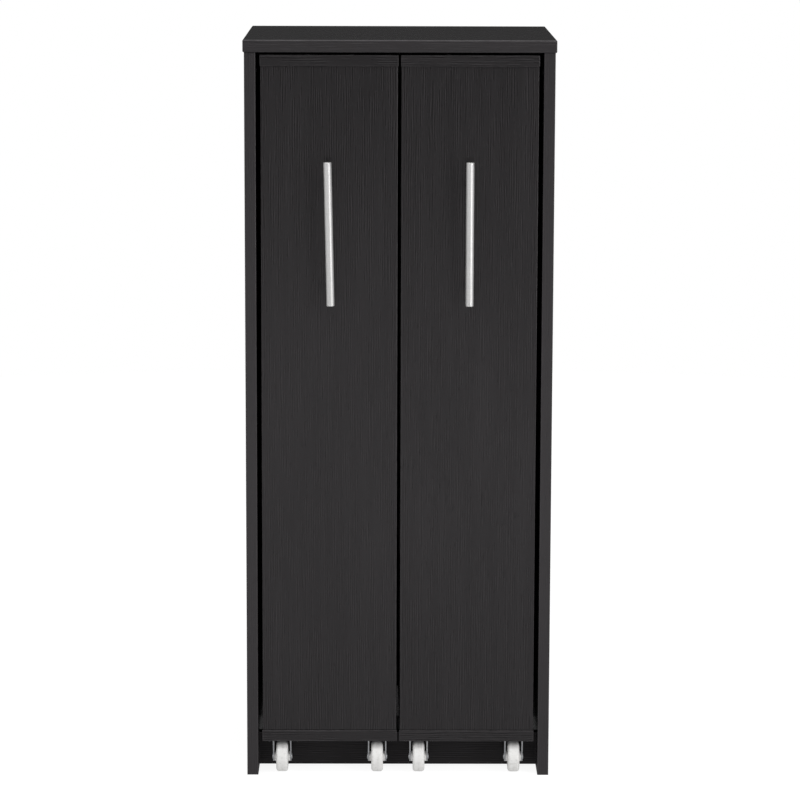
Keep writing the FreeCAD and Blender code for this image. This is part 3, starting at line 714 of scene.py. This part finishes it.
def soft_light(name, place, aim, size, strength, mirrored=True):
    """A large soft white light at a place, aimed at a point; glossy faces can be kept from mirroring it."""
    light = bpy.data.lights.new(name, "AREA")
    light.shape = "RECTANGLE"
    light.size, light.size_y = size
    light.energy = strength * math.pi * size[0] * size[1]
    lamp = bpy.data.objects.new(name, light)
    lamp.location = place
    lamp.rotation_euler = (Vector(place) - Vector(aim)).to_track_quat("Z", "Y").to_euler()
    lamp.visible_camera = False
    lamp.visible_glossy = mirrored
    bpy.context.scene.collection.objects.link(lamp)


def floor_finish(style):
    """Pale floor that glows like a light table, except under the cabinet."""
    high = CAD_BOX[1]
    finish = Finish("pale_floor")
    mottle = finish.noise((0.05, 0.05, 0.05))
    across, along = finish.components()[:2]
    kick_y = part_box("kick_board")[1].y
    middle_y = (kick_y + high.y) / 2
    half_depth = (high.y - kick_y) / 2
    beside = abs(across).ramp(high.x - GLOW_SIDE_FADE, high.x)
    beyond = abs(along - middle_y).ramp(half_depth - GLOW_END_FADE, half_depth)
    glow = beside.higher(beyond) * style.floor_glow
    return finish.surface(
        Base_Color=finish.mix(mottle, shade(style.floor_colour, FLOOR_MOTTLE), style.floor_colour),
        Roughness=0.85,
        Specular_IOR_Level=0.1,
        Emission_Color=finish.mix(glow, (0, 0, 0), (1, 1, 1)),
        Emission_Strength=1.0,
    )


class SetStudio(bpy.types.Operator):
    """Make the pale floor, the soft lights and the camera"""

    bl_idname = "shoe_cabinet.set_studio"
    bl_label = "Studio"

    def execute(self, context):
        scene = context.scene
        style = scene.studio
        self.make_floor(scene, style)
        self.make_dome(scene, style)
        low, high = CAD_BOX
        middle = (low + high) / 2
        top = Vector((0, 0, high.z))
        soft_light("key_light", KEY_PLACE, middle, KEY_SIZE, style.key_strength, mirrored=False)
        soft_light("low_key_light", LOW_KEY_PLACE, middle, LOW_KEY_SIZE, style.key_strength)
        soft_light("fill_light", FILL_PLACE, middle, FILL_SIZE, style.fill_strength, mirrored=False)
        soft_light("top_light", TOP_PLACE, top, TOP_SIZE, style.top_strength)
        self.make_camera(scene, style)
        scene.view_settings.view_transform = "Standard"
        return {"FINISHED"}

    def make_floor(self, scene, style):
        """A round floor that glossy faces don't mirror; they mirror the dome's band instead."""
        corners = []
        for index in range(FLOOR_SIDES):
            angle = 2 * math.pi * index / FLOOR_SIDES
            corners.append((style.floor_radius * math.cos(angle), style.floor_radius * math.sin(angle), 0))
        mesh = bpy.data.meshes.new("floor")
        mesh.from_pydata(corners, [], [range(FLOOR_SIDES)])
        floor = bpy.data.objects.new("floor", mesh)
        floor.visible_glossy = False
        mesh.materials.append(floor_finish(style))
        scene.collection.objects.link(floor)

    def make_dome(self, scene, style):
        """A white dome that the camera sees plain white.

        To everything else it is dim at the horizon, and higher up behind the cabinet. It has a bright band
        below the horizon, except straight behind.
        """
        world = bpy.data.worlds.new("white_dome")
        world.use_nodes = True
        scene.world = world
        dome = Nodes(world.node_tree, "Generated")
        along, up = dome.components()[1:]
        above = (up - along.higher(0.0) * style.lean).ramp(*SKY_FADE, style.dusk, style.sky)
        band = up.ramp(*BAND_UPPER_FADE) * up.ramp(*BAND_LOWER_FADE, 1.0, style.nadir)
        below = band * along.ramp(*BAND_END_FADE)
        bright = above + below * style.ground
        seen = Value(dome, dome.add("ShaderNodeLightPath").outputs["Is Camera Ray"])
        dome.fill(world.node_tree.nodes["Background"].inputs["Color"], (1, 1, 1))
        dome.fill(world.node_tree.nodes["Background"].inputs["Strength"], bright.higher(seen))

    def make_camera(self, scene, style):
        front_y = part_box("left_side_panel")[0].y
        camera = bpy.data.objects.new("camera", bpy.data.cameras.new("camera"))
        camera.data.lens = style.lens
        place = Matrix.Translation((style.offset, front_y - style.distance, style.height))
        heading = Matrix.Rotation(style.heading, 4, "Z")
        tilt = Matrix.Rotation(math.pi / 2 - style.pitch, 4, "X")
        turn = Matrix.Rotation(style.roll, 4, "Z")
        camera.matrix_world = place @ heading @ tilt @ turn
        scene.collection.objects.link(camera)
        scene.camera = camera


OPERATORS = (DressCarcass, DressUnits, DressHandles, DressCasters, DressFittings, SetStudio)


class CabinetPanel(bpy.types.Panel):
    """Lists the steps that dress the cabinet"""

    bl_idname = "VIEW3D_PT_shoe_cabinet"
    bl_label = "Roll-out shoe cabinet"
    bl_space_type = "VIEW_3D"
    bl_region_type = "UI"
    bl_category = "Shoe cabinet"

    def draw(self, context):
        for operator in OPERATORS:
            self.layout.operator(operator.bl_idname)


GROUPS = {"laminate": LaminateProperties, "hardware": HardwareProperties, "studio": StudioProperties}


def register():
    for name, group in GROUPS.items():
        bpy.utils.register_class(group)
        setattr(bpy.types.Scene, name, bpy.props.PointerProperty(type=group))
    for operator in OPERATORS:
        bpy.utils.register_class(operator)
    bpy.utils.register_class(CabinetPanel)


def unregister():
    bpy.utils.unregister_class(CabinetPanel)
    for operator in reversed(OPERATORS):
        bpy.utils.unregister_class(operator)
    for name, group in GROUPS.items():
        delattr(bpy.types.Scene, name)
        bpy.utils.unregister_class(group)


def main():
    register()
    bpy.ops.shoe_cabinet.dress_carcass()
    bpy.ops.shoe_cabinet.dress_units()
    bpy.ops.shoe_cabinet.dress_handles()
    bpy.ops.shoe_cabinet.dress_casters()
    bpy.ops.shoe_cabinet.dress_fittings()
    bpy.ops.shoe_cabinet.set_studio()


if __name__ == "__main__":
    main()
